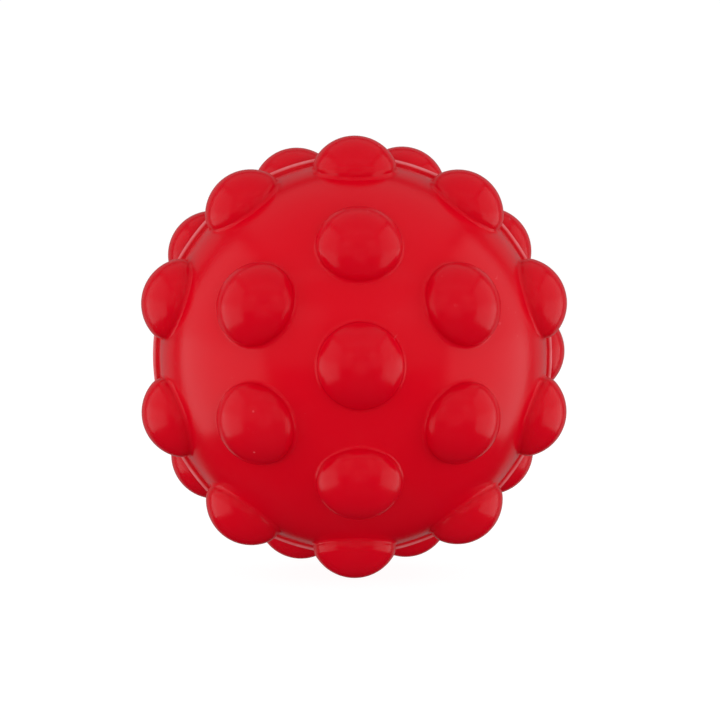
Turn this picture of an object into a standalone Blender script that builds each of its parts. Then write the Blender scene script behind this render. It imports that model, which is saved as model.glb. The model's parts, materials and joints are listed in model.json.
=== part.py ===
"""Bubble massage ball in silicone rubber.

Two hollow half shells plug together at the equator, tongue into groove. Each half carries one pole dome,
an inner ring of six domes and an outer ring of ten. A dome is pressed inwards along its own radius and
stays there until it is pushed back out. The ball's centre is the origin, the poles lie on Y with the
front pole at -Y, and the front half has a dome of its outer ring straight up at +Z.
"""
from math import acos, cos, pi, radians, sin, sqrt

import bmesh
import bpy
from mathutils import Matrix

# Driving dimensions, in metres and degrees.
BODY_RADIUS = 0.0330        # outside of the ball between the domes
WALL = 0.0024               # half shell wall
SEAM_GAP = 0.0003           # clearance between the two halves, and between any two pieces

DOME_CENTRE = 0.03038       # from the ball's centre to the centre of a dome's sphere
DOME_RADIUS = 0.00764       # radius of a dome's sphere
DOME_SIDE = 0.0069          # half a dome's width at its foot
DOME_SHOULDER = 0.0030      # radius that leads from the sphere into the upright side
DOME_WALL = 0.0010          # rubber thickness of a dome
CROWN_RADIUS = 0.0059       # the part of a dome that travels
CROWN_SKIRT = 0.0009        # depth of the crown's rim
DOME_TRAVEL = 0.0100        # from standing out to pushed in

INNER_RING_POLAR = 35.4     # angle from the pole to the ring's domes
INNER_RING_COUNT = 6
OUTER_RING_POLAR = 75.75
OUTER_RING_COUNT = 10
REAR_TURN = 18.7            # the rear half is plugged in turned by about half a dome pitch
PRESSED_IN = ("rear_dome_outer_03",)

LIP_RADIUS = 0.0340         # raised lip on each side of the seam
LIP_HALF_HEIGHT = 0.0011    # from the seam plane to the lip's shoulder
LIP_CHAMFER = 0.0004
TONGUE_INNER = 0.0317
TONGUE_OUTER = 0.0326
TONGUE_HEIGHT = 0.0009

# Fineness of the solids.
SHELL_SEGMENTS = 48
SHELL_RINGS = 8
DOME_SEGMENTS = 16

HOLE_RADIUS = CROWN_RADIUS + SEAM_GAP
COLLAR_FOOT = 0.0316        # the collar starts inside the wall
COLLAR_TOP_WIDTH = 0.0003
MERGE = 1e-7
SMOOTH_ANGLE = radians(40)

RED = (0.62, 0.005, 0.012, 1.0)
DARKER_RED = (0.56, 0.004, 0.010, 1.0)


def clear_scene():
    for thing in list(bpy.data.objects):
        bpy.data.objects.remove(thing, do_unlink=True)


def rubber(name, colour):
    """Satin silicone rubber."""
    material = bpy.data.materials.new(name)
    material.use_nodes = True
    shader = material.node_tree.nodes["Principled BSDF"]
    shader.inputs["Base Color"].default_value = colour
    shader.inputs["Roughness"].default_value = 0.45
    shader.inputs["Metallic"].default_value = 0.0
    return material


def arc(radius, start, end, steps, centre=0.0):
    """Points (distance from the axis, height) on an arc about a centre on the axis, angles off the axis."""
    angles = [start + (end - start) * step / steps for step in range(steps + 1)]
    return [(radius * sin(angle), centre + radius * cos(angle)) for angle in angles]


def spun_mesh(name, profile, segments, closed=False):
    """A solid of revolution about Z. An open profile starts and ends on the axis."""
    shape = bmesh.new()
    points = [shape.verts.new((max(distance, 0.0), 0.0, height)) for distance, height in profile]
    lines = [shape.edges.new(pair) for pair in zip(points, points[1:])]
    if closed:
        lines.append(shape.edges.new((points[-1], points[0])))
    bmesh.ops.spin(shape, geom=points + lines, cent=(0, 0, 0), axis=(0, 0, 1), angle=2 * pi,
                   steps=segments, use_merge=True)
    bmesh.ops.remove_doubles(shape, verts=shape.verts, dist=MERGE)
    bmesh.ops.recalc_face_normals(shape, faces=shape.faces)
    mesh = bpy.data.meshes.new(name)
    shape.to_mesh(mesh)
    shape.free()
    mesh.shade_smooth()
    mesh.set_sharp_from_angle(angle=SMOOTH_ANGLE)
    return mesh


def place_object(name, mesh, parent=None, material=None):
    thing = bpy.data.objects.new(name, mesh)
    bpy.context.scene.collection.objects.link(thing)
    thing.parent = parent
    if material and not mesh.materials:
        mesh.materials.append(material)
    return thing


def helper(thing):
    """Mark a cutter or filler, which shapes other pieces and is no piece itself."""
    thing.hide_render = True
    thing.display_type = "WIRE"
    return thing


def dome_layout():
    """Name and turn of each dome in a half whose pole is +Z; ring domes are counted from +Y towards +X."""
    layout = [("pole", Matrix.Identity(4))]
    rings = (("inner", INNER_RING_POLAR, INNER_RING_COUNT), ("outer", OUTER_RING_POLAR, OUTER_RING_COUNT))
    for ring, polar, count in rings:
        for number in range(count):
            around = Matrix.Rotation(-2 * pi * number / count, 4, "Z")
            down = Matrix.Rotation(-radians(polar), 4, "X")
            layout.append((f"{ring}_{number + 1:02d}", around @ down))
    return layout


def scattered_mesh(name, mesh, turns):
    """One mesh holding a turned copy of another for each dome."""
    shape = bmesh.new()
    for turn in turns:
        before = len(shape.verts)
        shape.from_mesh(mesh)
        shape.verts.ensure_lookup_table()
        bmesh.ops.transform(shape, matrix=turn, verts=shape.verts[before:])
    joined = bpy.data.meshes.new(name)
    shape.to_mesh(joined)
    shape.free()
    return joined


def half_shell_profile(with_tongue):
    """Outside from the pole to the lip, round the lip, across the mating face, and back up the inside."""
    face = SEAM_GAP / 2
    outside = arc(BODY_RADIUS, 0.0, acos(LIP_HALF_HEIGHT / BODY_RADIUS), SHELL_RINGS)
    lip = [(LIP_RADIUS - LIP_CHAMFER, LIP_HALF_HEIGHT), (LIP_RADIUS, LIP_HALF_HEIGHT - LIP_CHAMFER),
           (LIP_RADIUS, face)]
    tip = face - TONGUE_HEIGHT
    tongue = [(TONGUE_OUTER, face), (TONGUE_OUTER, tip), (TONGUE_INNER, tip), (TONGUE_INNER, face)]
    inner_radius = BODY_RADIUS - WALL
    inside = arc(inner_radius, acos(face / inner_radius), 0.0, SHELL_RINGS)
    return outside + lip + (tongue if with_tongue else []) + inside


def groove_mesh():
    """The ring that is cut out of the rear half for the tongue, open towards the seam."""
    face = SEAM_GAP / 2
    bottom = TONGUE_HEIGHT - face + SEAM_GAP
    inner = TONGUE_INNER - SEAM_GAP
    outer = TONGUE_OUTER + SEAM_GAP
    profile = [(outer, bottom), (outer, -bottom), (inner, -bottom), (inner, bottom)]
    return spun_mesh("groove_ring", profile, SHELL_SEGMENTS, closed=True)


def dome_sphere_height(distance):
    return DOME_CENTRE + sqrt(DOME_RADIUS ** 2 - distance ** 2)


def shoulder_height(distance):
    """Height of the arc that is tangent to a dome's sphere and to its upright side."""
    off = DOME_SIDE - DOME_SHOULDER
    centre = DOME_CENTRE + sqrt((DOME_RADIUS - DOME_SHOULDER) ** 2 - off ** 2)
    return centre + sqrt(DOME_SHOULDER ** 2 - (distance - off) ** 2)


def collar_mesh():
    """The foot of a dome, which stays with the shell and rolls over when the crown is pressed."""
    rim = HOLE_RADIUS + COLLAR_TOP_WIDTH
    middle = (rim + DOME_SIDE) / 2
    bore = HOLE_RADIUS - COLLAR_TOP_WIDTH
    top = shoulder_height(rim)
    profile = [(bore, top), (rim, top), (middle, shoulder_height(middle)),
               (DOME_SIDE, shoulder_height(DOME_SIDE)), (DOME_SIDE, COLLAR_FOOT), (bore, COLLAR_FOOT)]
    return spun_mesh("collar", profile, DOME_SEGMENTS, closed=True)


def hole_mesh():
    """A plug along a dome's radius that bores the shell and the collar."""
    low = BODY_RADIUS - 2 * WALL
    high = DOME_CENTRE + DOME_RADIUS
    profile = [(0.0, high), (HOLE_RADIUS, high), (HOLE_RADIUS, low), (0.0, low)]
    return spun_mesh("dome_hole", profile, DOME_SEGMENTS)


def crown_mesh():
    """The travelling crown of a dome: a cap of the dome's sphere with a short skirt, hollow underneath."""
    edge = acos((dome_sphere_height(CROWN_RADIUS) - DOME_CENTRE) / DOME_RADIUS)
    inner_radius = DOME_RADIUS - DOME_WALL
    inner_edge = acos((dome_sphere_height(CROWN_RADIUS) - DOME_CENTRE - DOME_WALL / 2) / inner_radius)
    cap = [(distance, height - DOME_CENTRE) for distance, height in arc(DOME_RADIUS, 0.0, edge, 3, DOME_CENTRE)]
    skirt = [(CROWN_RADIUS, cap[-1][1] - CROWN_SKIRT)]
    hollow = arc(inner_radius, inner_edge, 0.0, 2)
    return spun_mesh("crown", cap + skirt + hollow, DOME_SEGMENTS)


def boolean(target, name, operation, operand):
    cut = target.modifiers.new(name, "BOOLEAN")
    cut.operation = operation
    cut.object = operand
    cut.solver = "EXACT"


def build_half(side, turn, with_tongue, shell_material, dome_material):
    """A half shell with its seventeen domes, its pole turned to the right side of the ball."""
    frame = bpy.data.objects.new(f"{side}_half_frame", None)
    bpy.context.scene.collection.objects.link(frame)
    frame.matrix_world = turn
    layout = dome_layout()
    turns = [place for _, place in layout]

    shell_mesh = spun_mesh(f"{side}_shell", half_shell_profile(with_tongue), SHELL_SEGMENTS)
    shell = place_object(f"{side}_shell", shell_mesh, frame, shell_material)
    collars = place_object(f"{side}_collars", scattered_mesh("collars", collar_mesh(), turns), frame)
    holes = place_object(f"{side}_holes", scattered_mesh("holes", hole_mesh(), turns), frame)
    boolean(shell, "dome collars", "UNION", helper(collars))
    boolean(shell, "dome holes", "DIFFERENCE", helper(holes))
    if not with_tongue:
        groove = place_object(f"{side}_groove", groove_mesh(), frame)
        boolean(shell, "groove", "DIFFERENCE", helper(groove))

    crown = crown_mesh()
    for label, place in layout:
        name = f"{side}_dome_{label}"
        dome = place_object(name, crown, frame, dome_material)
        sunk = DOME_TRAVEL if name in PRESSED_IN else 0.0
        dome.matrix_local = place @ Matrix.Translation((0.0, 0.0, DOME_CENTRE - sunk))


def main():
    clear_scene()
    upright = Matrix.Rotation(radians(90), 4, "X")
    facing_back = Matrix.Rotation(pi, 4, "Z") @ upright @ Matrix.Rotation(-radians(REAR_TURN), 4, "Z")
    dome_rubber = rubber("dome_silicone", RED)
    build_half("front", upright, True, rubber("front_shell_silicone", RED), dome_rubber)
    build_half("rear", facing_back, False, rubber("rear_shell_silicone", DARKER_RED), dome_rubber)


main()
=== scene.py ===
"""Looks of a bubble massage ball: two silicone half shells, domes that turn inside out, a pale studio."""
import json

import bmesh
import bpy
import numpy as np
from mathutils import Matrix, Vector


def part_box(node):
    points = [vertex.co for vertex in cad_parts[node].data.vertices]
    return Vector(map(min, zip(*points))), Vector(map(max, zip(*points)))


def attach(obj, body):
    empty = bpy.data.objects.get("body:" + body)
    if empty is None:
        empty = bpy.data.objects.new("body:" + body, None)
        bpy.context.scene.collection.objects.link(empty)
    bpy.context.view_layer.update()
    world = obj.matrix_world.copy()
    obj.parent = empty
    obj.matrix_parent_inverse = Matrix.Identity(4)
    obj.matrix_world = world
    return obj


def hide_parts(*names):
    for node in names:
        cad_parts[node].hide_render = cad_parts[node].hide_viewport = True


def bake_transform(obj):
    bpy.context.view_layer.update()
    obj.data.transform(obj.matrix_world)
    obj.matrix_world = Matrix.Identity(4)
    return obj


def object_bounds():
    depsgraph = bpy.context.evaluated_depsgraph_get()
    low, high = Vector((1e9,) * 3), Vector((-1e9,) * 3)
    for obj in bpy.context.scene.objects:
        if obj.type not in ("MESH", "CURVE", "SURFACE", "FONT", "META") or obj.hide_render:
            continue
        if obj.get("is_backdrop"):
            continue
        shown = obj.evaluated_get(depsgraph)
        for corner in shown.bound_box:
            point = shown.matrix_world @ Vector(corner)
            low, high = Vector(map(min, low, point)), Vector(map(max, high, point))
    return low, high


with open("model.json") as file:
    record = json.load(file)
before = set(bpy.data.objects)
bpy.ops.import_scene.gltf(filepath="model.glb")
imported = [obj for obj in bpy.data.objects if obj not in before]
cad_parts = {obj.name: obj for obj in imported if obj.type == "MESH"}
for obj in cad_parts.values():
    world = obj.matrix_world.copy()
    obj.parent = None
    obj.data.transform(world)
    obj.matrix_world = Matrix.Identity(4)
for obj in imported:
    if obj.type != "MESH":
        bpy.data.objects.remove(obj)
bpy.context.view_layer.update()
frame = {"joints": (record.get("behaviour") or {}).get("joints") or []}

bl_info = {
    "name": "Bubble Massage Ball",
    "version": (1, 0, 0),
    "blender": (4, 5, 0),
    "location": "3D View > Sidebar > Massage Ball",
    "description": "Builds the silicone surfaces of a bubble massage ball and its studio",
    "category": "Add Mesh",
}

POLES = {"front": (0.0, -1.0, 0.0), "rear": (0.0, 1.0, 0.0)}
DOME_TIP = -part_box("front_dome_pole")[0].y       # ball's centre to a dome's tip
LIP_EDGE = 0.0340                                # ball's centre to the edge of the seam lip
MILLIMETRE = 0.001
WELD = 2e-6                                      # points closer than this are merged
SHARP_ANGLE = np.radians(50)                     # edges that turn further stay sharp

BORE_WALL = 0.18 * MILLIMETRE                    # rubber left at the edge where a dome rolls over
BORE_SOFTNESS = 0.4 * MILLIMETRE                 # rounding between the inner ball and that bore
HINGE_DROP = 0.04 * MILLIMETRE                   # from the end of a dome's shoulder down to its hinge
LIP_FOOT = 0.12 * MILLIMETRE                     # hollow rounding between the skin and the seam lip
LIP_SOFTNESS = 0.1 * MILLIMETRE                  # rounding where a dome reaches over the lip
PARTING_ROUND = 0.14 * MILLIMETRE                # rounding of the lip's edge at the seam
MATING_FACE = 0.06                               # millimetres from the seam plane to a half's mating face
TONGUE = (31.7, 32.6, -0.60)                     # millimetres: inner and outer radius, height of the end
GROOVE = (31.5, 32.8, 0.80)
KEY_ROUND = 0.12                                 # millimetres cut off the corners of tongue and groove
INSIDE_ROUND = 0.15 * MILLIMETRE                 # the same where the mating face meets the inside
SKIRT = ((-0.04, -0.20), (0.0, 0.0), (-0.10, -0.20))  # millimetres off a dome's hinge
SKIRT_ROWS = 2                                   # of these, the ones that come before a dome's outside

FINE_TURNS = 1440                                # directions tried to find a cell's corners
RIM_POINTS = 22                                  # along the seam, for each dome of the outer ring
FILLET_ROWS = 8
BORE_ROWS = 8
BORE_REACH = np.radians(13.2)                    # angle off a dome's axis where the bore's fine rows end
CELL_ROWS = 10                                   # from there to the cell's border
SHOULDER_ROWS = 13
SPHERE_ROWS = 18
DOME_COLUMNS = 112
DEPTH_STEPS = 4001

# Scales of the noise patterns; the lip one breaks up the painted highlight on the seam lip.
PATTERN_SCALES = {"clouds": 55.0, "rubbed": 190.0, "specks": 240.0, "strokes": 900.0, "scuffed": 60.0,
                  "lip_highlight_noise": 420.0, "grain": 5200.0, "skin": 900.0, "paper": 400.0}
SEED_STEP = 0.1                                  # moves each piece's patterns, in metres
LIP_WIDTH = (1.3e-6, 1.7e-6)                     # squared distance off the seam plane where the painted lip highlight ends
SCUFF_COVER = 0.22
BLOOM_ROUGHNESS = 0.22
SPECK_ROUGHNESS = 0.2
BUMP_STRENGTH = 0.12
BUMP_DISTANCE = 0.02 * MILLIMETRE
RUBBER = {"IOR": 1.5, "Specular IOR Level": 0.16, "Subsurface Weight": 0.12,
          "Subsurface Radius": (1.0, 0.06, 0.05), "Subsurface Scale": 0.0016}
PAPER = {"Roughness": 0.9, "Emission Color": (1.0, 1.0, 1.0, 1.0), "Emission Strength": 0.94}

CENTRE = (0.0, 0.0, 0.0)
SIDE_LIGHTS = (                                  # name, place on the right, aim, size, power
    ("low", (0.6, -0.05, -0.14), (0.0, -0.05, -0.14), (0.8, 0.40), "side_low_power"),
    ("front", (0.42, -0.60, 0.17), CENTRE, (0.42, 0.46), "side_front_power"),
    ("high", (0.6, -0.05, 0.33), (0.0, -0.05, 0.33), (0.8, 0.54), "side_high_power"))
OTHER_LIGHTS = (                                 # name, place, aim, size, power, leaves a highlight
    ("ceiling_softbox", (0.0, 0.0, 0.70), CENTRE, (1.2, 1.2), "ceiling_power", True),
    ("high_front_softbox", (0.0, -0.62, 0.50), CENTRE, (1.1, 0.5), "high_front_power", True),
    ("back_softbox", (0.0, 0.70, 0.10), (0.0, 0.0, 0.10), (1.6, 1.0), "back_power", True),
    ("front_fill", (0.0, -0.80, 0.0), CENTRE, (0.5, 0.5), "front_power", False),
    ("low_fill", (0.0, -0.50, -0.50), CENTRE, (0.8, 0.5), "low_power", False))


# ---------------------------------------------------------------- settings

class BallShape(bpy.types.PropertyGroup):
    """Sizes of the half shells and their domes."""
    body_radius: bpy.props.FloatProperty(
        name="Body radius", description="Ball's centre to its skin between the domes",
        default=0.868 * DOME_TIP, unit="LENGTH")
    wall: bpy.props.FloatProperty(
        name="Wall", description="Thickness of a half shell", default=0.0024, unit="LENGTH")
    dome_radius: bpy.props.FloatProperty(
        name="Dome radius", description="Radius of a dome's sphere", default=0.00764, unit="LENGTH")
    dome_side: bpy.props.FloatProperty(
        name="Dome side", description="Half a dome's width where its side stands upright", default=0.0069,
        unit="LENGTH")
    shoulder: bpy.props.FloatProperty(
        name="Shoulder", description="Radius that leads from a dome's sphere into its side",
        default=0.0030, unit="LENGTH")
    skin: bpy.props.FloatProperty(
        name="Dome skin", description="Thickness of a dome's flexing skin", default=0.00012,
        unit="LENGTH")
    fillet: bpy.props.FloatProperty(
        name="Fillet", description="Radius between a dome's side and the body", default=0.00068,
        unit="LENGTH")
    lip_height: bpy.props.FloatProperty(
        name="Lip height", description="Seam plane to the lip's shoulder", default=0.00105, unit="LENGTH")
    lip_round: bpy.props.FloatProperty(
        name="Lip rounding", description="Radius of the lip's outer edge", default=0.00045, unit="LENGTH")
    cell_step: bpy.props.FloatProperty(
        name="Mesh step", description="Angle between two points along a cell's border", default=0.0165,
        subtype="ANGLE")


class BallFinish(bpy.types.PropertyGroup):
    """Colours and scuffs of the silicone, and a painted highlight along its seam lip."""
    red: bpy.props.FloatVectorProperty(
        name="Silicone", description="Colour of the rubber", subtype="COLOR", size=3,
        default=(0.655, 0.0002, 0.0092))
    bloom: bpy.props.FloatVectorProperty(
        name="Bloom", description="Colour of the powdery film on silicone", subtype="COLOR", size=3,
        default=(0.665, 0.0030, 0.0130))
    lint: bpy.props.FloatVectorProperty(
        name="Lint", description="Colour of dust and lint", subtype="COLOR", size=3,
        default=(0.800, 0.160, 0.180))
    # Painted highlight: a pale colour on the seam lip's rounded outer edge that stands in for the
    # reflection the edge catches.
    painted_lip_highlight: bpy.props.FloatVectorProperty(
        name="Worn edge", description="Colour of the rubbed seam lip", subtype="COLOR", size=3,
        default=(0.760, 0.230, 0.250))
    lip_highlight_band: bpy.props.FloatVectorProperty(
        name="Worn band", description="Distances off the axis where the lip starts to pale and is palest",
        size=2, default=(0.0334, 0.0337), unit="LENGTH")
    roughness: bpy.props.FloatProperty(
        name="Roughness", description="Roughness of clean rubber", default=0.20, subtype="FACTOR")
    bloom_amount: bpy.props.FloatProperty(
        name="Bloom amount", description="Strongest cover of the powdery film", default=0.35,
        subtype="FACTOR")
    lint_amount: bpy.props.FloatProperty(
        name="Lint amount", description="Cover of a lint speck", default=0.55, subtype="FACTOR")


class StudioSettings(bpy.types.PropertyGroup):
    """Camera and lights."""
    distance: bpy.props.FloatProperty(
        name="Camera distance", description="Camera to the ball's centre", default=0.4283, unit="LENGTH")
    azimuth: bpy.props.FloatProperty(
        name="Azimuth", description="Camera's turn round the ball", default=np.radians(-2.15),
        subtype="ANGLE")
    elevation: bpy.props.FloatProperty(
        name="Elevation", description="Camera's height angle", default=np.radians(2.93), subtype="ANGLE")
    lens: bpy.props.FloatProperty(
        name="Lens", description="Focal length in millimetres", default=125.6)
    shift_x: bpy.props.FloatProperty(name="Shift X", description="Sideways framing", default=0.00986)
    shift_y: bpy.props.FloatProperty(name="Shift Y", description="Upright framing", default=-0.00653)
    side_low_power: bpy.props.FloatProperty(
        name="Low side softboxes", description="Power of each lower side softbox", default=1.35,
        unit="POWER")
    side_front_power: bpy.props.FloatProperty(
        name="Front side softboxes", description="Power of each softbox beside the camera", default=0.28,
        unit="POWER")
    side_high_power: bpy.props.FloatProperty(
        name="High side softboxes", description="Power of each upper side softbox", default=1.15,
        unit="POWER")
    ceiling_power: bpy.props.FloatProperty(
        name="Ceiling softbox", description="Power of the overhead softbox", default=1.9, unit="POWER")
    high_front_power: bpy.props.FloatProperty(
        name="High front softbox", description="Power of the softbox above the camera", default=0.6,
        unit="POWER")
    back_power: bpy.props.FloatProperty(
        name="Back softbox", description="Power of the softbox behind the ball", default=1.3,
        unit="POWER")
    front_power: bpy.props.FloatProperty(
        name="Front fill", description="Power of the fill behind the camera", default=1.9, unit="POWER")
    low_power: bpy.props.FloatProperty(
        name="Low fill", description="Power of the fill from low in front", default=0.22, unit="POWER")
    sky: bpy.props.FloatProperty(
        name="Room light", description="Strength of the even light of the room", default=0.42)


# ---------------------------------------------------------------- surfaces

def unit(vectors):
    """Each vector over its own length."""
    return vectors / np.linalg.norm(vectors, axis=-1, keepdims=True)


def across(axis):
    """Two unit vectors square to an axis, which turn anticlockwise about it."""
    helper = np.array((0.0, 0.0, 1.0)) if abs(axis[2]) < 0.9 else np.array((1.0, 0.0, 0.0))
    first = unit(np.cross(helper, axis))
    return first, np.cross(axis, first)


def smooth_max(a, b, width):
    """The larger of two arrays, rounded where they differ by less than the width.

    Adds a quarter of the width times (1 - gap / width) squared.
    """
    near = np.clip(1.0 - np.abs(a - b) / width, 0.0, 1.0)
    return np.maximum(a, b) + near * near * width / 4.0


def dome_centre(shape):
    """Height of the centre of a dome's sphere along the dome's axis, from the ball's centre."""
    return DOME_TIP - shape.dome_radius


def shoulder_centre(shape):
    """Centre (off the axis, height) of the arc tangent to a dome's sphere and to its upright side."""
    off = shape.dome_side - shape.shoulder
    return off, dome_centre(shape) + np.sqrt((shape.dome_radius - shape.shoulder) ** 2 - off ** 2)


def fillet_centre(shape):
    """Centre (off the axis, height) of the hollow arc tangent to a dome's side and to the body."""
    off = shape.dome_side + shape.fillet
    return off, np.sqrt((shape.body_radius + shape.fillet) ** 2 - off ** 2)


def hinge_height(shape):
    """Height along a dome's axis of the edge where its side ends and a pressed dome rolls over."""
    return shoulder_centre(shape)[1] - HINGE_DROP


def foot_angles(shape, rows):
    """Angles off the axis of rows that go down a dome's side and round its fillet on to the body."""
    off, height = fillet_centre(shape)
    start = np.arctan2(shape.dome_side, hinge_height(shape))
    side_end = np.arctan2(shape.dome_side, height)
    last = np.pi / 2 - np.arctan2(off, height)
    turn = np.linspace(0.0, last, rows + 1)[1:]
    fillet = np.arctan2(off - shape.fillet * np.cos(turn), height - shape.fillet * np.sin(turn))
    return start, np.concatenate([[(start + side_end) / 2, side_end], fillet])


def outer_radius(shape, angle):
    """Distance of the skin from the ball's centre, over the angle off a dome's axis.

    First the dome's upright side, then a hollow fillet arc, then the body's sphere.
    """
    off, height = fillet_centre(shape)
    reach, turn = np.hypot(off, height), np.arctan2(off, height) - angle
    hollow = np.maximum(shape.fillet ** 2 - (reach * np.sin(turn)) ** 2, 0.0)
    fillet = reach * np.cos(turn) - np.sqrt(hollow)
    side = shape.dome_side / np.sin(angle)
    side_end = np.arctan2(shape.dome_side, height)
    return np.where(angle < side_end, side, np.where(turn > 0, fillet, shape.body_radius))


def inner_radius(shape, angle):
    """Inside of the wall: the inner ball, or the bore under a dome where that reaches further."""
    ball = np.full_like(angle, shape.body_radius - shape.wall)
    bore = (shape.dome_side - BORE_WALL) / np.sin(angle)
    return smooth_max(ball, bore, BORE_SOFTNESS)


def border_polar(shape):
    """Angle from the pole where a half's cells end and the seam's profile begins."""
    return np.arccos((shape.lip_height + LIP_FOOT) / shape.body_radius)


def between_directions(start, end, count):
    """Unit vectors at equal steps along the great circle from one to another, the last left out."""
    spread = np.arccos(np.clip(start @ end, -1.0, 1.0))
    share = np.linspace(0.0, 1.0, count, endpoint=False)[:, None]
    return (np.sin((1 - share) * spread) * start + np.sin(share * spread) * end) / np.sin(spread)


def cell_border(axes, index, pole, step, polar):
    """The closed border of the part of a half that is nearest to one dome, as unit vectors.

    Against a neighbour it is the great circle half way between the two axes, and at the seam a small
    circle about the pole. Corners are where three of these meet; points divide each edge evenly.
    """
    axis = axes[index]
    others = np.delete(axes, index, axis=0)
    first, second = across(axis)
    turns = np.linspace(0.0, 2 * np.pi, FINE_TURNS, endpoint=False)
    outward = np.cos(turns)[:, None] * first + np.sin(turns)[:, None] * second
    slope = outward @ others.T
    reach = np.arctan2(1.0 - others @ axis, slope)
    reach[slope <= 0] = np.pi
    height, rise = axis @ pole, outward @ pole
    seam = np.arctan2(rise, height) + np.arccos(np.cos(polar) / np.hypot(height, rise))
    nearest = np.argmin(np.column_stack([reach, seam]), axis=1)
    changes = np.flatnonzero(nearest != np.roll(nearest, 1))
    order = nearest[changes]
    rim = len(others)
    corners = []
    for before, after in zip(np.roll(order, 1), order):
        if rim in (before, after):
            side = unit(np.cross(axis - others[before if after == rim else after], pole))
            side = side * np.sign(side @ axis)
            corners.append(np.cos(polar) * pole + np.sin(polar) * side)
        else:
            point = unit(np.cross(axis - others[before], axis - others[after]))
            corners.append(point * np.sign(point @ axis))
    points = []
    for place, neighbour in enumerate(order):
        start, end = corners[place], corners[(place + 1) % len(corners)]
        if neighbour == rim:
            flat_start, flat_end = (unit(p - (p @ pole) * pole) for p in (start, end))
            flat = between_directions(flat_start, flat_end, RIM_POINTS)
            points.append(np.cos(polar) * pole + np.sin(polar) * flat)
        else:
            spread = np.arccos(np.clip(start @ end, -1.0, 1.0))
            points.append(between_directions(start, end, max(2, int(np.round(spread / step)))))
    return np.concatenate(points)


def cell_angles(start, marks, border):
    """Angles off the axis of a cell's rows: through the marks, then in equal steps on to the border.

    Marks that the border cuts off are squeezed up before it.
    """
    share = np.arange(1, len(marks) + 1) / (len(marks) + 1.0)
    squeezed = start + (border[None, :] - start) * share[:, None]
    rows = np.minimum(marks[:, None], squeezed)
    onward = np.linspace(0.0, 1.0, CELL_ROWS + 1)[1:, None]
    rest = rows[-1] + (border - rows[-1])[None, :] * onward
    return np.vstack([np.full((1, len(border)), start), rows, rest])


def grid_faces(rows, columns, first, flip=False):
    """Four-sided faces of a grid whose columns close on themselves."""
    row = np.arange(rows - 1)[:, None]
    column = np.arange(columns)[None, :]
    ahead = (column + 1) % columns
    corners = [row * columns + column, (row + 1) * columns + column,
               (row + 1) * columns + ahead, row * columns + ahead]
    faces = np.stack([np.broadcast_to(c, (rows - 1, columns)) for c in corners], axis=-1).reshape(-1, 4)
    return first + (faces[:, ::-1] if flip else faces)


def arc_points(centre, radius, start, end, steps):
    """Points (off the axis, height) on an arc, its angles in degrees from the outward direction."""
    angles = np.radians(np.linspace(start, end, steps + 1))
    return np.column_stack([centre[0] + radius * np.cos(angles), centre[1] + radius * np.sin(angles)])


def seam_profile(shape, tongue):
    """The seam's points (off the polar axis, off the seam plane), and how many of them make the lip.

    They go from the skin round the lip, across the mating face with its tongue or groove, to the inside.
    """
    body, top, edge_round = shape.body_radius, shape.lip_height, shape.lip_round
    face = MATING_FACE * MILLIMETRE
    lip = np.vstack([
        arc_points((body + LIP_FOOT, top + LIP_FOOT), LIP_FOOT, 180, 270, 5)[1:],
        arc_points((LIP_EDGE - edge_round, top - edge_round), edge_round, 90, 0, 8),
        arc_points((LIP_EDGE - PARTING_ROUND, face + PARTING_ROUND), PARTING_ROUND, 0, -90, 5)])
    near, far, end = TONGUE if tongue else GROOVE
    turned = end + (KEY_ROUND if tongue else -KEY_ROUND)
    key = np.array([(far, MATING_FACE), (far, turned), (far - KEY_ROUND, end),
                    (near + KEY_ROUND, end), (near, turned), (near, MATING_FACE)]) * MILLIMETRE
    inner = body - shape.wall
    inside = np.array([(inner + INSIDE_ROUND, face), (inner, face + INSIDE_ROUND)])
    return np.vstack([lip, key, inside]), len(lip)


def seam_grid(shape, axes, pole, tongue):
    """The seam's profile carried round the pole. Where a dome reaches over the lip, its skin wins."""
    outer = axes[np.abs(axes @ pole) < 0.5]
    start = unit(outer[0] - (outer[0] @ pole) * pole)
    count = RIM_POINTS * len(outer)
    side = np.cross(pole, start)
    turn = 2 * np.pi * (np.arange(count) / count + 0.5 / len(outer))
    around = np.cos(turn)[:, None] * start + np.sin(turn)[:, None] * side
    profile, lip_rows = seam_profile(shape, tongue)
    polar = border_polar(shape)
    heights = np.concatenate([[np.cos(polar) * shape.body_radius], profile[:lip_rows, 1]])
    down = np.arccos(heights / shape.body_radius)
    aims = np.sin(down)[:, None, None] * around[None] + np.cos(down)[:, None, None] * pole
    nearest = np.arccos(np.clip((aims @ outer.T).max(axis=-1), -1.0, 1.0))
    skin = outer_radius(shape, nearest)
    skin_points = skin[..., None] * aims
    off = skin * np.sin(down)[:, None]
    wanted = smooth_max(np.broadcast_to(profile[:lip_rows, 0, None], (lip_rows, count)), off[1:],
                        LIP_SOFTNESS)
    lip = wanted[..., None] * around[None] + profile[:lip_rows, 1, None, None] * pole
    rest = profile[lip_rows:, 0, None, None] * around[None] + profile[lip_rows:, 1, None, None] * pole
    border = np.sin(polar) * around + np.cos(polar) * pole
    inside_angle = np.arccos(np.clip((border @ outer.T).max(axis=-1), -1.0, 1.0))
    inside = inner_radius(shape, inside_angle)[:, None] * border
    return np.concatenate([skin_points[:1], lip, rest, inside[None]])


def mesh_object(name, points, faces):
    """A smooth-shaded mesh object at the origin, with its doubles merged and its sharp edges kept."""
    mesh = bpy.data.meshes.new(name)
    mesh.from_pydata(points, [], faces.tolist())
    merged = bmesh.new()
    merged.from_mesh(mesh)
    bmesh.ops.remove_doubles(merged, verts=merged.verts, dist=WELD)
    merged.to_mesh(mesh)
    merged.free()
    mesh.shade_smooth()
    mesh.set_sharp_from_angle(angle=SHARP_ANGLE)
    thing = bpy.data.objects.new(name, mesh)
    bpy.context.scene.collection.objects.link(thing)
    return thing


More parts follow.
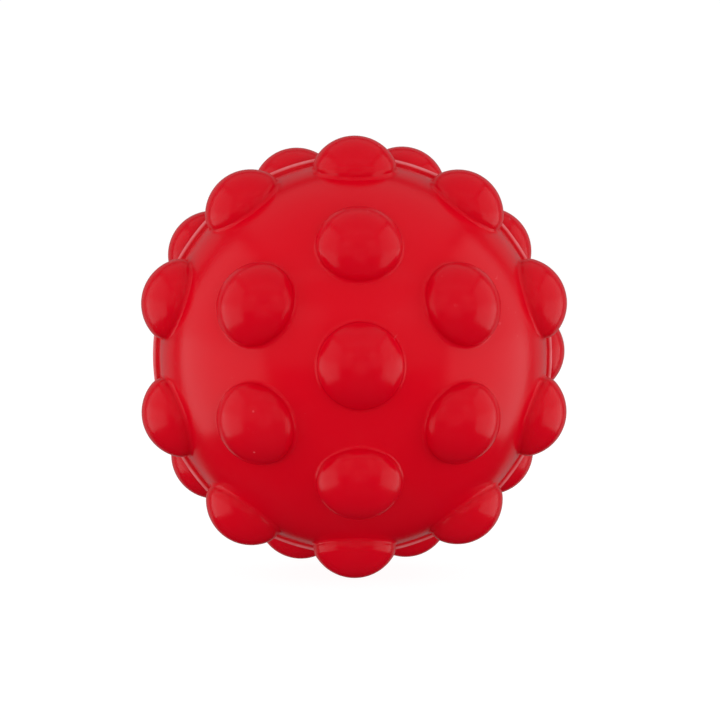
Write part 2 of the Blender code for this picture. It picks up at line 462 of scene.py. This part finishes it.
def half_shell(shape, name, axes, pole, tongue):
    """One closed half shell.

    Round each dome an outer and an inner grid are joined at its hinge. The seam's profile closes them.
    """
    blocks, faces, first = [], [], 0
    start, outer_marks = foot_angles(shape, FILLET_ROWS)
    inner_start = np.arctan2(shape.dome_side - BORE_WALL, hinge_height(shape) - BORE_WALL / 2)
    inner_marks = np.linspace(inner_start, BORE_REACH, BORE_ROWS + 1)[1:]
    polar = border_polar(shape)
    for index, axis in enumerate(axes):
        border = cell_border(axes, index, pole, shape.cell_step, polar)
        along = border @ axis
        outward = unit(border - along[:, None] * axis)
        reach = np.arccos(along)
        for begin, marks, radius, flip in ((start, outer_marks, outer_radius, False),
                                           (inner_start, inner_marks, inner_radius, True)):
            angles = cell_angles(begin, marks, reach)
            aims = np.cos(angles)[..., None] * axis + np.sin(angles)[..., None] * outward[None]
            grid = radius(shape, angles)[..., None] * aims
            blocks.append(grid.reshape(-1, 3))
            faces.append(grid_faces(len(angles), len(border), first, flip))
            if flip:
                ring = np.arange(len(border))
                ahead = np.roll(ring, -1)
                faces.append(np.column_stack([outer_first + ring, outer_first + ahead,
                                              first + ahead, first + ring]))
            outer_first = first
            first += grid.shape[0] * grid.shape[1]
    seam = seam_grid(shape, axes, pole, tongue)
    blocks.append(seam.reshape(-1, 3))
    faces.append(grid_faces(len(seam), seam.shape[1], first))
    return mesh_object(name, np.concatenate(blocks), np.concatenate(faces))


def turned_in(height, depth, travel):
    """Depth below the hinge of a pressed-in dome's points, from their heights when it is out.

    Coming out lifts a point by the travel times 3t^2 - 2t^3, where t is its share of the full depth.
    """
    depths = np.linspace(0.0, depth, DEPTH_STEPS)
    share = depths / depth
    lifted = travel * share * share * (3 - 2 * share) - depths
    lowest = int(np.argmin(lifted))
    return np.interp(height, lifted[lowest:], depths[lowest:])


def dome_profile(shape):
    """A dome's closed profile (off the axis, height), popped out.

    It starts at the skirt behind the hinge, goes up the shoulder arc and over the sphere to the axis, and
    comes back on the inside, one skin thickness further in along the normal.
    """
    off, height = shoulder_centre(shape)
    tangent = np.arctan2(off, height - dome_centre(shape))
    shoulder = np.linspace(np.pi / 2, tangent, SHOULDER_ROWS)
    sphere = np.linspace(tangent, 0.0, SPHERE_ROWS + 1)[1:]
    lean = np.concatenate([shoulder, sphere])
    radius = np.concatenate([np.full(len(shoulder), shape.shoulder),
                             np.full(len(sphere), shape.dome_radius)])
    centre = np.vstack([np.tile((off, height), (len(shoulder), 1)),
                        np.tile((0.0, dome_centre(shape)), (len(sphere), 1))])
    normal = np.column_stack([np.sin(lean), np.cos(lean)])
    outside = centre + radius[:, None] * normal
    inside = outside - shape.skin * normal
    edge = np.array((shape.dome_side, hinge_height(shape)))
    skirt = np.array(SKIRT) * MILLIMETRE + edge
    inside[inside[:, 0] < 0, 0] = 0.0
    return np.vstack([skirt[:SKIRT_ROWS], outside, inside[::-1], skirt[SKIRT_ROWS:]])


def dome(shape, name, axis, travel, pressed):
    """A dome's thin bubble, its profile turned about its axis, popped out or turned inside out."""
    profile = dome_profile(shape)
    edge = hinge_height(shape)
    if pressed:
        profile = profile[SKIRT_ROWS:-1]
        profile[:, 1] = edge - turned_in(profile[:, 1] - edge, edge - (DOME_TIP - travel), travel)
    first, second = across(axis)
    turn = np.linspace(0.0, 2 * np.pi, DOME_COLUMNS, endpoint=False)
    spoke = np.cos(turn)[:, None] * first + np.sin(turn)[:, None] * second
    grid = profile[:, 0, None, None] * spoke[None] + profile[:, 1, None, None] * axis
    faces = np.vstack([grid_faces(len(grid), DOME_COLUMNS, 0, True), wrap_faces(len(grid), DOME_COLUMNS)])
    on_axis = np.repeat(profile[:, 0] < WELD, DOME_COLUMNS)
    faces = faces[~on_axis[faces].all(axis=1)]
    return mesh_object(name, grid.reshape(-1, 3), faces[:, ::-1] if pressed else faces)


def wrap_faces(rows, columns):
    """Faces that join a closed profile's last row to its first."""
    ring = np.arange(columns)
    ahead = np.roll(ring, -1)
    last = (rows - 1) * columns
    return np.column_stack([ring, ahead, last + ahead, last + ring])[:, ::-1]


# ---------------------------------------------------------------- materials

class Value:
    """A socket of a material's node tree. Arithmetic on it adds Math nodes."""

    def __init__(self, tree, socket):
        self.tree, self.socket = tree, socket

    def node(self, kind, settings=None, inputs=None, output=0):
        """Add a node of any kind: its settings first, then the values or links of its sockets."""
        made = self.tree.nodes.new(kind)
        for key, value in (settings or {}).items():
            setattr(made, key, value)
        for key, value in (inputs or {}).items():
            if isinstance(value, Value):
                self.tree.links.new(value.socket, made.inputs[key])
            else:
                made.inputs[key].default_value = value
        return Value(self.tree, made.outputs[output])

    def math(self, operation, *values):
        """Add a Math node."""
        return self.node("ShaderNodeMath", {"operation": operation}, dict(enumerate(values)))

    def __add__(self, other):
        return self.math("ADD", self, other)

    __radd__ = __add__

    def __sub__(self, other):
        return self.math("SUBTRACT", self, other)

    def __rsub__(self, other):
        return self.math("SUBTRACT", other, self)

    def __mul__(self, other):
        return self.math("MULTIPLY", self, other)

    __rmul__ = __mul__

    def root(self):
        """Square root."""
        return self.math("SQRT", self)

    def between(self, low, high):
        """0 below low, 1 above high, smooth in between."""
        return self.node("ShaderNodeMapRange", {"interpolation_type": "SMOOTHSTEP"},
                         {"Value": self, "From Min": low, "From Max": high})


def place_on(tree):
    """Where a point lies on the ball, in metres."""
    return Value(tree, None).node("ShaderNodeTexCoord", output="Object")


def noise(place, pattern, detail=3.0, roughness=0.5, distortion=0.0):
    """Noise from 0 to 1 at a named pattern's scale."""
    return place.node("ShaderNodeTexNoise", {},
                      {"Vector": place, "Scale": PATTERN_SCALES[pattern], "Detail": detail,
                       "Roughness": roughness, "Distortion": distortion})


def mix_colour(share, first, second):
    """Two colours mixed by a share."""
    return share.node("ShaderNodeMix", {"data_type": "RGBA"}, {0: share, 6: first, 7: second}, output=2)


def silicone(finish, name, seed, paint_lip_highlight=False):
    """Satin silicone: powdery bloom in clouds, lint specks, hairline scuffs and a very fine grain; with
    the lip flag, also a painted highlight on the seam lip's outer edge.
    """
    material = bpy.data.materials.new(name)
    material.use_nodes = True
    tree = material.node_tree
    shader = tree.nodes["Principled BSDF"]
    where = place_on(tree)
    place = where.node("ShaderNodeMapping", {}, {"Vector": where, "Location": (seed, seed * 0.7, -seed)})

    clouds = noise(place, "clouds", 4.0, 0.55, 0.6).between(0.40, 0.75)
    rubbed = noise(place, "rubbed", 3.0, 0.6, 1.2).between(0.45, 0.8)
    bloom = (clouds * 0.65 + rubbed * 0.35) * finish.bloom_amount

    dots = {"Vector": place, "Scale": PATTERN_SCALES["specks"], "Randomness": 1.0}
    near = place.node("ShaderNodeTexVoronoi", {"feature": "F1"}, dots)
    cell = place.node("ShaderNodeTexVoronoi", {"feature": "F1"}, dots, output="Color")
    chance, size = (cell.node("ShaderNodeSeparateColor", {}, {0: cell}, output=o) for o in (0, 1))
    speck = (1.0 - near.between(0.02, 0.06)) * chance.between(0.86, 0.88) * (size * 0.7 + 0.3)

    drawn = place.node("ShaderNodeMapping", {}, {"Vector": place, "Rotation": (0.4, 0.9, 0.6),
                                                 "Scale": (1.0, 0.12, 1.0)})
    stroke = noise(drawn, "strokes", 2.0, 0.5, 0.3).between(0.68, 0.76)
    scuff = stroke * noise(place, "scuffed", 2.0).between(0.58, 0.68)

    colour = mix_colour(bloom, (*finish.red, 1.0), (*finish.bloom, 1.0))
    colour = mix_colour(speck * finish.lint_amount, colour, (*finish.lint, 1.0))
    colour = mix_colour(scuff * SCUFF_COVER, colour, (*finish.lint, 1.0))
    # Painted highlight: the seam lip's rounded outer edge is paled, broken up by noise, to stand in for
    # the reflection it catches.
    if paint_lip_highlight:
        sideways, along, upward = (where.node("ShaderNodeSeparateXYZ", {}, {0: where}, output=o)
                                   for o in range(3))
        off = (sideways * sideways + upward * upward).root()
        painted_lip_highlight = off.between(*finish.lip_highlight_band) * (1.0 - (along * along).between(*LIP_WIDTH))
        painted_lip_highlight = painted_lip_highlight * (noise(place, "lip_highlight_noise", 3.0) * 0.8 + 0.25)
        colour = mix_colour(painted_lip_highlight, colour, (*finish.painted_lip_highlight, 1.0))
    tree.links.new(colour.socket, shader.inputs["Base Color"])

    rough = bloom * BLOOM_ROUGHNESS + finish.roughness + speck * SPECK_ROUGHNESS
    tree.links.new(rough.socket, shader.inputs["Roughness"])

    grain = noise(place, "grain", 2.0, 0.6)
    skin = noise(place, "skin", 2.0, 0.5)
    height = grain * 0.35 + skin * 0.65 + speck * 0.8
    bump = height.node("ShaderNodeBump", {}, {"Height": height, "Strength": BUMP_STRENGTH,
                                              "Distance": BUMP_DISTANCE})
    tree.links.new(bump.socket, shader.inputs["Normal"])

    for socket, value in RUBBER.items():
        shader.inputs[socket].default_value = value
    return material


# ---------------------------------------------------------------- operators

def dome_joints(side):
    """The joints of one half's domes, pole first."""
    return [j for j in frame["joints"] if j["child"].startswith(f"{side}_dome_")]


def outward_axes(side):
    """Unit vectors from the ball's centre out through each dome of a half."""
    return unit(-np.array([j["axis"] for j in dome_joints(side)], float))


def give(thing, material, body_slot, *nodes):
    """Give a piece its material and hide the CAD nodes it stands in for; the slot is not used."""
    thing.data.materials.append(material)
    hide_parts(*nodes)


class BALL_OT_half_shells(bpy.types.Operator):
    """Make the two half shells with their dome feet, seam lip, and tongue or groove"""
    bl_idname = "massage_ball.half_shells"
    bl_label = "Half Shells"

    def execute(self, context):
        shape, finish = context.scene.ball_shape, context.scene.ball_finish
        for seed, side in enumerate(POLES):
            shell = half_shell(shape, f"{side}_shell_skin", outward_axes(side), np.array(POLES[side]),
                               side == "front")
            material = silicone(finish, f"{side}_shell_silicone", SEED_STEP * seed, paint_lip_highlight=True)
            give(shell, material, f"{side}_shell_silicone", f"{side}_shell")
            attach(shell, f"{side}_half")
        return {"FINISHED"}


class BALL_OT_domes(bpy.types.Operator):
    """Make the thirty-four domes, each popped out or turned inside out as its joint's range says"""
    bl_idname = "massage_ball.domes"
    bl_label = "Domes"

    def execute(self, context):
        shape, finish = context.scene.ball_shape, context.scene.ball_finish
        edge = hinge_height(shape)
        for seed, side in enumerate(POLES):
            material = silicone(finish, f"{side}_dome_silicone", SEED_STEP * seed)
            for joint, axis in zip(dome_joints(side), outward_axes(side)):
                low, high = joint["range_m"]
                pressed, travel = low < 0, high - low
                body = joint["child"]
                crown = dome(shape, f"{body}_skin", axis, travel, pressed)
                give(crown, material, "dome_silicone", body)
                tip = DOME_TIP - (travel if pressed else 0.0)
                Vector(axis * edge)
                Vector(axis * tip)
                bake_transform(crown)
        return {"FINISHED"}


def softbox(name, place, aim, size, power, mirrored=True):
    """A rectangular soft light. One that is not mirrored fills the shadows and leaves no highlight."""
    light = bpy.data.lights.new(name, "AREA")
    light.shape = "RECTANGLE"
    light.size, light.size_y = size
    light.energy = power
    thing = bpy.data.objects.new(name, light)
    thing.location = place
    thing.rotation_euler = (Vector(aim) - Vector(place)).to_track_quat("-Z", "Y").to_euler()
    thing.visible_camera = False
    thing.visible_glossy = mirrored
    bpy.context.scene.collection.objects.link(thing)


def backdrop_mesh(floor):
    """A round studio floor: a flat disc, a quarter circle and an upright wall, turned about Z."""
    flat, bend, top, columns = 0.9, 0.5, 1.6, 96
    turn = np.radians(np.linspace(0, 90, 25))
    curve = np.column_stack([flat + bend * np.sin(turn), floor + bend * (1 - np.cos(turn))])
    run = np.vstack([[0.0, floor], curve, [flat + bend, floor + top]])
    around = np.linspace(0.0, 2 * np.pi, columns, endpoint=False)
    spoke = np.column_stack([np.cos(around), np.sin(around), np.zeros(columns)])
    grid = run[:, 0, None, None] * spoke[None] + run[:, 1, None, None] * np.array((0.0, 0.0, 1.0))
    return mesh_object("backdrop", grid.reshape(-1, 3), grid_faces(len(run), columns, 0))


class BALL_OT_stage(bpy.types.Operator):
    """Make the pale floor, the soft lights and the camera"""
    bl_idname = "massage_ball.stage"
    bl_label = "Stage"

    def execute(self, context):
        studio = context.scene.ball_studio
        context.scene.view_settings.view_transform = "Standard"
        floor = backdrop_mesh(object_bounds()[0].z)
        paper = bpy.data.materials.new("backdrop_paper")
        paper.use_nodes = True
        shader = paper.node_tree.nodes["Principled BSDF"]
        fibre = noise(place_on(paper.node_tree), "paper", 4.0) * 0.02 + 0.12
        tint = fibre.node("ShaderNodeCombineColor", {}, {0: fibre, 1: fibre, 2: fibre})
        paper.node_tree.links.new(tint.socket, shader.inputs["Base Color"])
        for socket, value in PAPER.items():
            shader.inputs[socket].default_value = value
        floor.data.materials.append(paper)
        floor.visible_diffuse = False
        floor.visible_glossy = False
        floor.visible_shadow = False
        floor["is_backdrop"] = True

        for sign, side in ((-1.0, "left"), (1.0, "right")):
            for level, (x, y, z), aim, size, power in SIDE_LIGHTS:
                softbox(f"{side}_{level}_softbox", (x * sign, y, z), aim, size, getattr(studio, power))
        for name, place, aim, size, power, mirrored in OTHER_LIGHTS:
            softbox(name, place, aim, size, getattr(studio, power), mirrored)

        world = bpy.data.worlds.new("studio_room")
        context.scene.world = world
        world.use_nodes = True
        sky = world.node_tree.nodes["Background"]
        sky.inputs["Color"].default_value = (1.0, 1.0, 1.0, 1.0)
        sky.inputs["Strength"].default_value = studio.sky
        world.cycles_visibility.glossy = False

        camera = bpy.data.cameras.new("camera")
        camera.sensor_width = 36.0
        camera.lens = studio.lens
        camera.shift_x, camera.shift_y = studio.shift_x, studio.shift_y
        camera.clip_start, camera.clip_end = 0.01, 20.0
        viewer = bpy.data.objects.new("camera", camera)
        back = Vector((np.sin(studio.azimuth) * np.cos(studio.elevation),
                       -np.cos(studio.azimuth) * np.cos(studio.elevation), np.sin(studio.elevation)))
        viewer.location = back * studio.distance
        viewer.rotation_euler = (-back).to_track_quat("-Z", "Y").to_euler()
        context.scene.collection.objects.link(viewer)
        context.scene.camera = viewer
        return {"FINISHED"}


class BALL_PT_panel(bpy.types.Panel):
    """Lists the ball's settings and the buttons that build it"""
    bl_idname = "BALL_PT_panel"
    bl_label = "Massage Ball"
    bl_space_type = "VIEW_3D"
    bl_region_type = "UI"
    bl_category = "Massage Ball"

    def draw(self, context):
        for group in (context.scene.ball_shape, context.scene.ball_finish, context.scene.ball_studio):
            box = self.layout.box()
            for name in group.__annotations__:
                box.prop(group, name)
        for operator in (BALL_OT_half_shells, BALL_OT_domes, BALL_OT_stage):
            self.layout.operator(operator.bl_idname)


CLASSES = (BallShape, BallFinish, StudioSettings, BALL_OT_half_shells, BALL_OT_domes, BALL_OT_stage,
           BALL_PT_panel)


def register():
    """Add the settings, the operators and the panel to Blender."""
    for cls in CLASSES:
        bpy.utils.register_class(cls)
    bpy.types.Scene.ball_shape = bpy.props.PointerProperty(type=BallShape)
    bpy.types.Scene.ball_finish = bpy.props.PointerProperty(type=BallFinish)
    bpy.types.Scene.ball_studio = bpy.props.PointerProperty(type=StudioSettings)


def unregister():
    """Take them out again."""
    del bpy.types.Scene.ball_shape, bpy.types.Scene.ball_finish, bpy.types.Scene.ball_studio
    for cls in reversed(CLASSES):
        bpy.utils.unregister_class(cls)


def main():
    """Build the ball and its studio."""
    register()
    bpy.ops.massage_ball.half_shells()
    bpy.ops.massage_ball.domes()
    bpy.ops.massage_ball.stage()


if __name__ == "__main__":
    main()
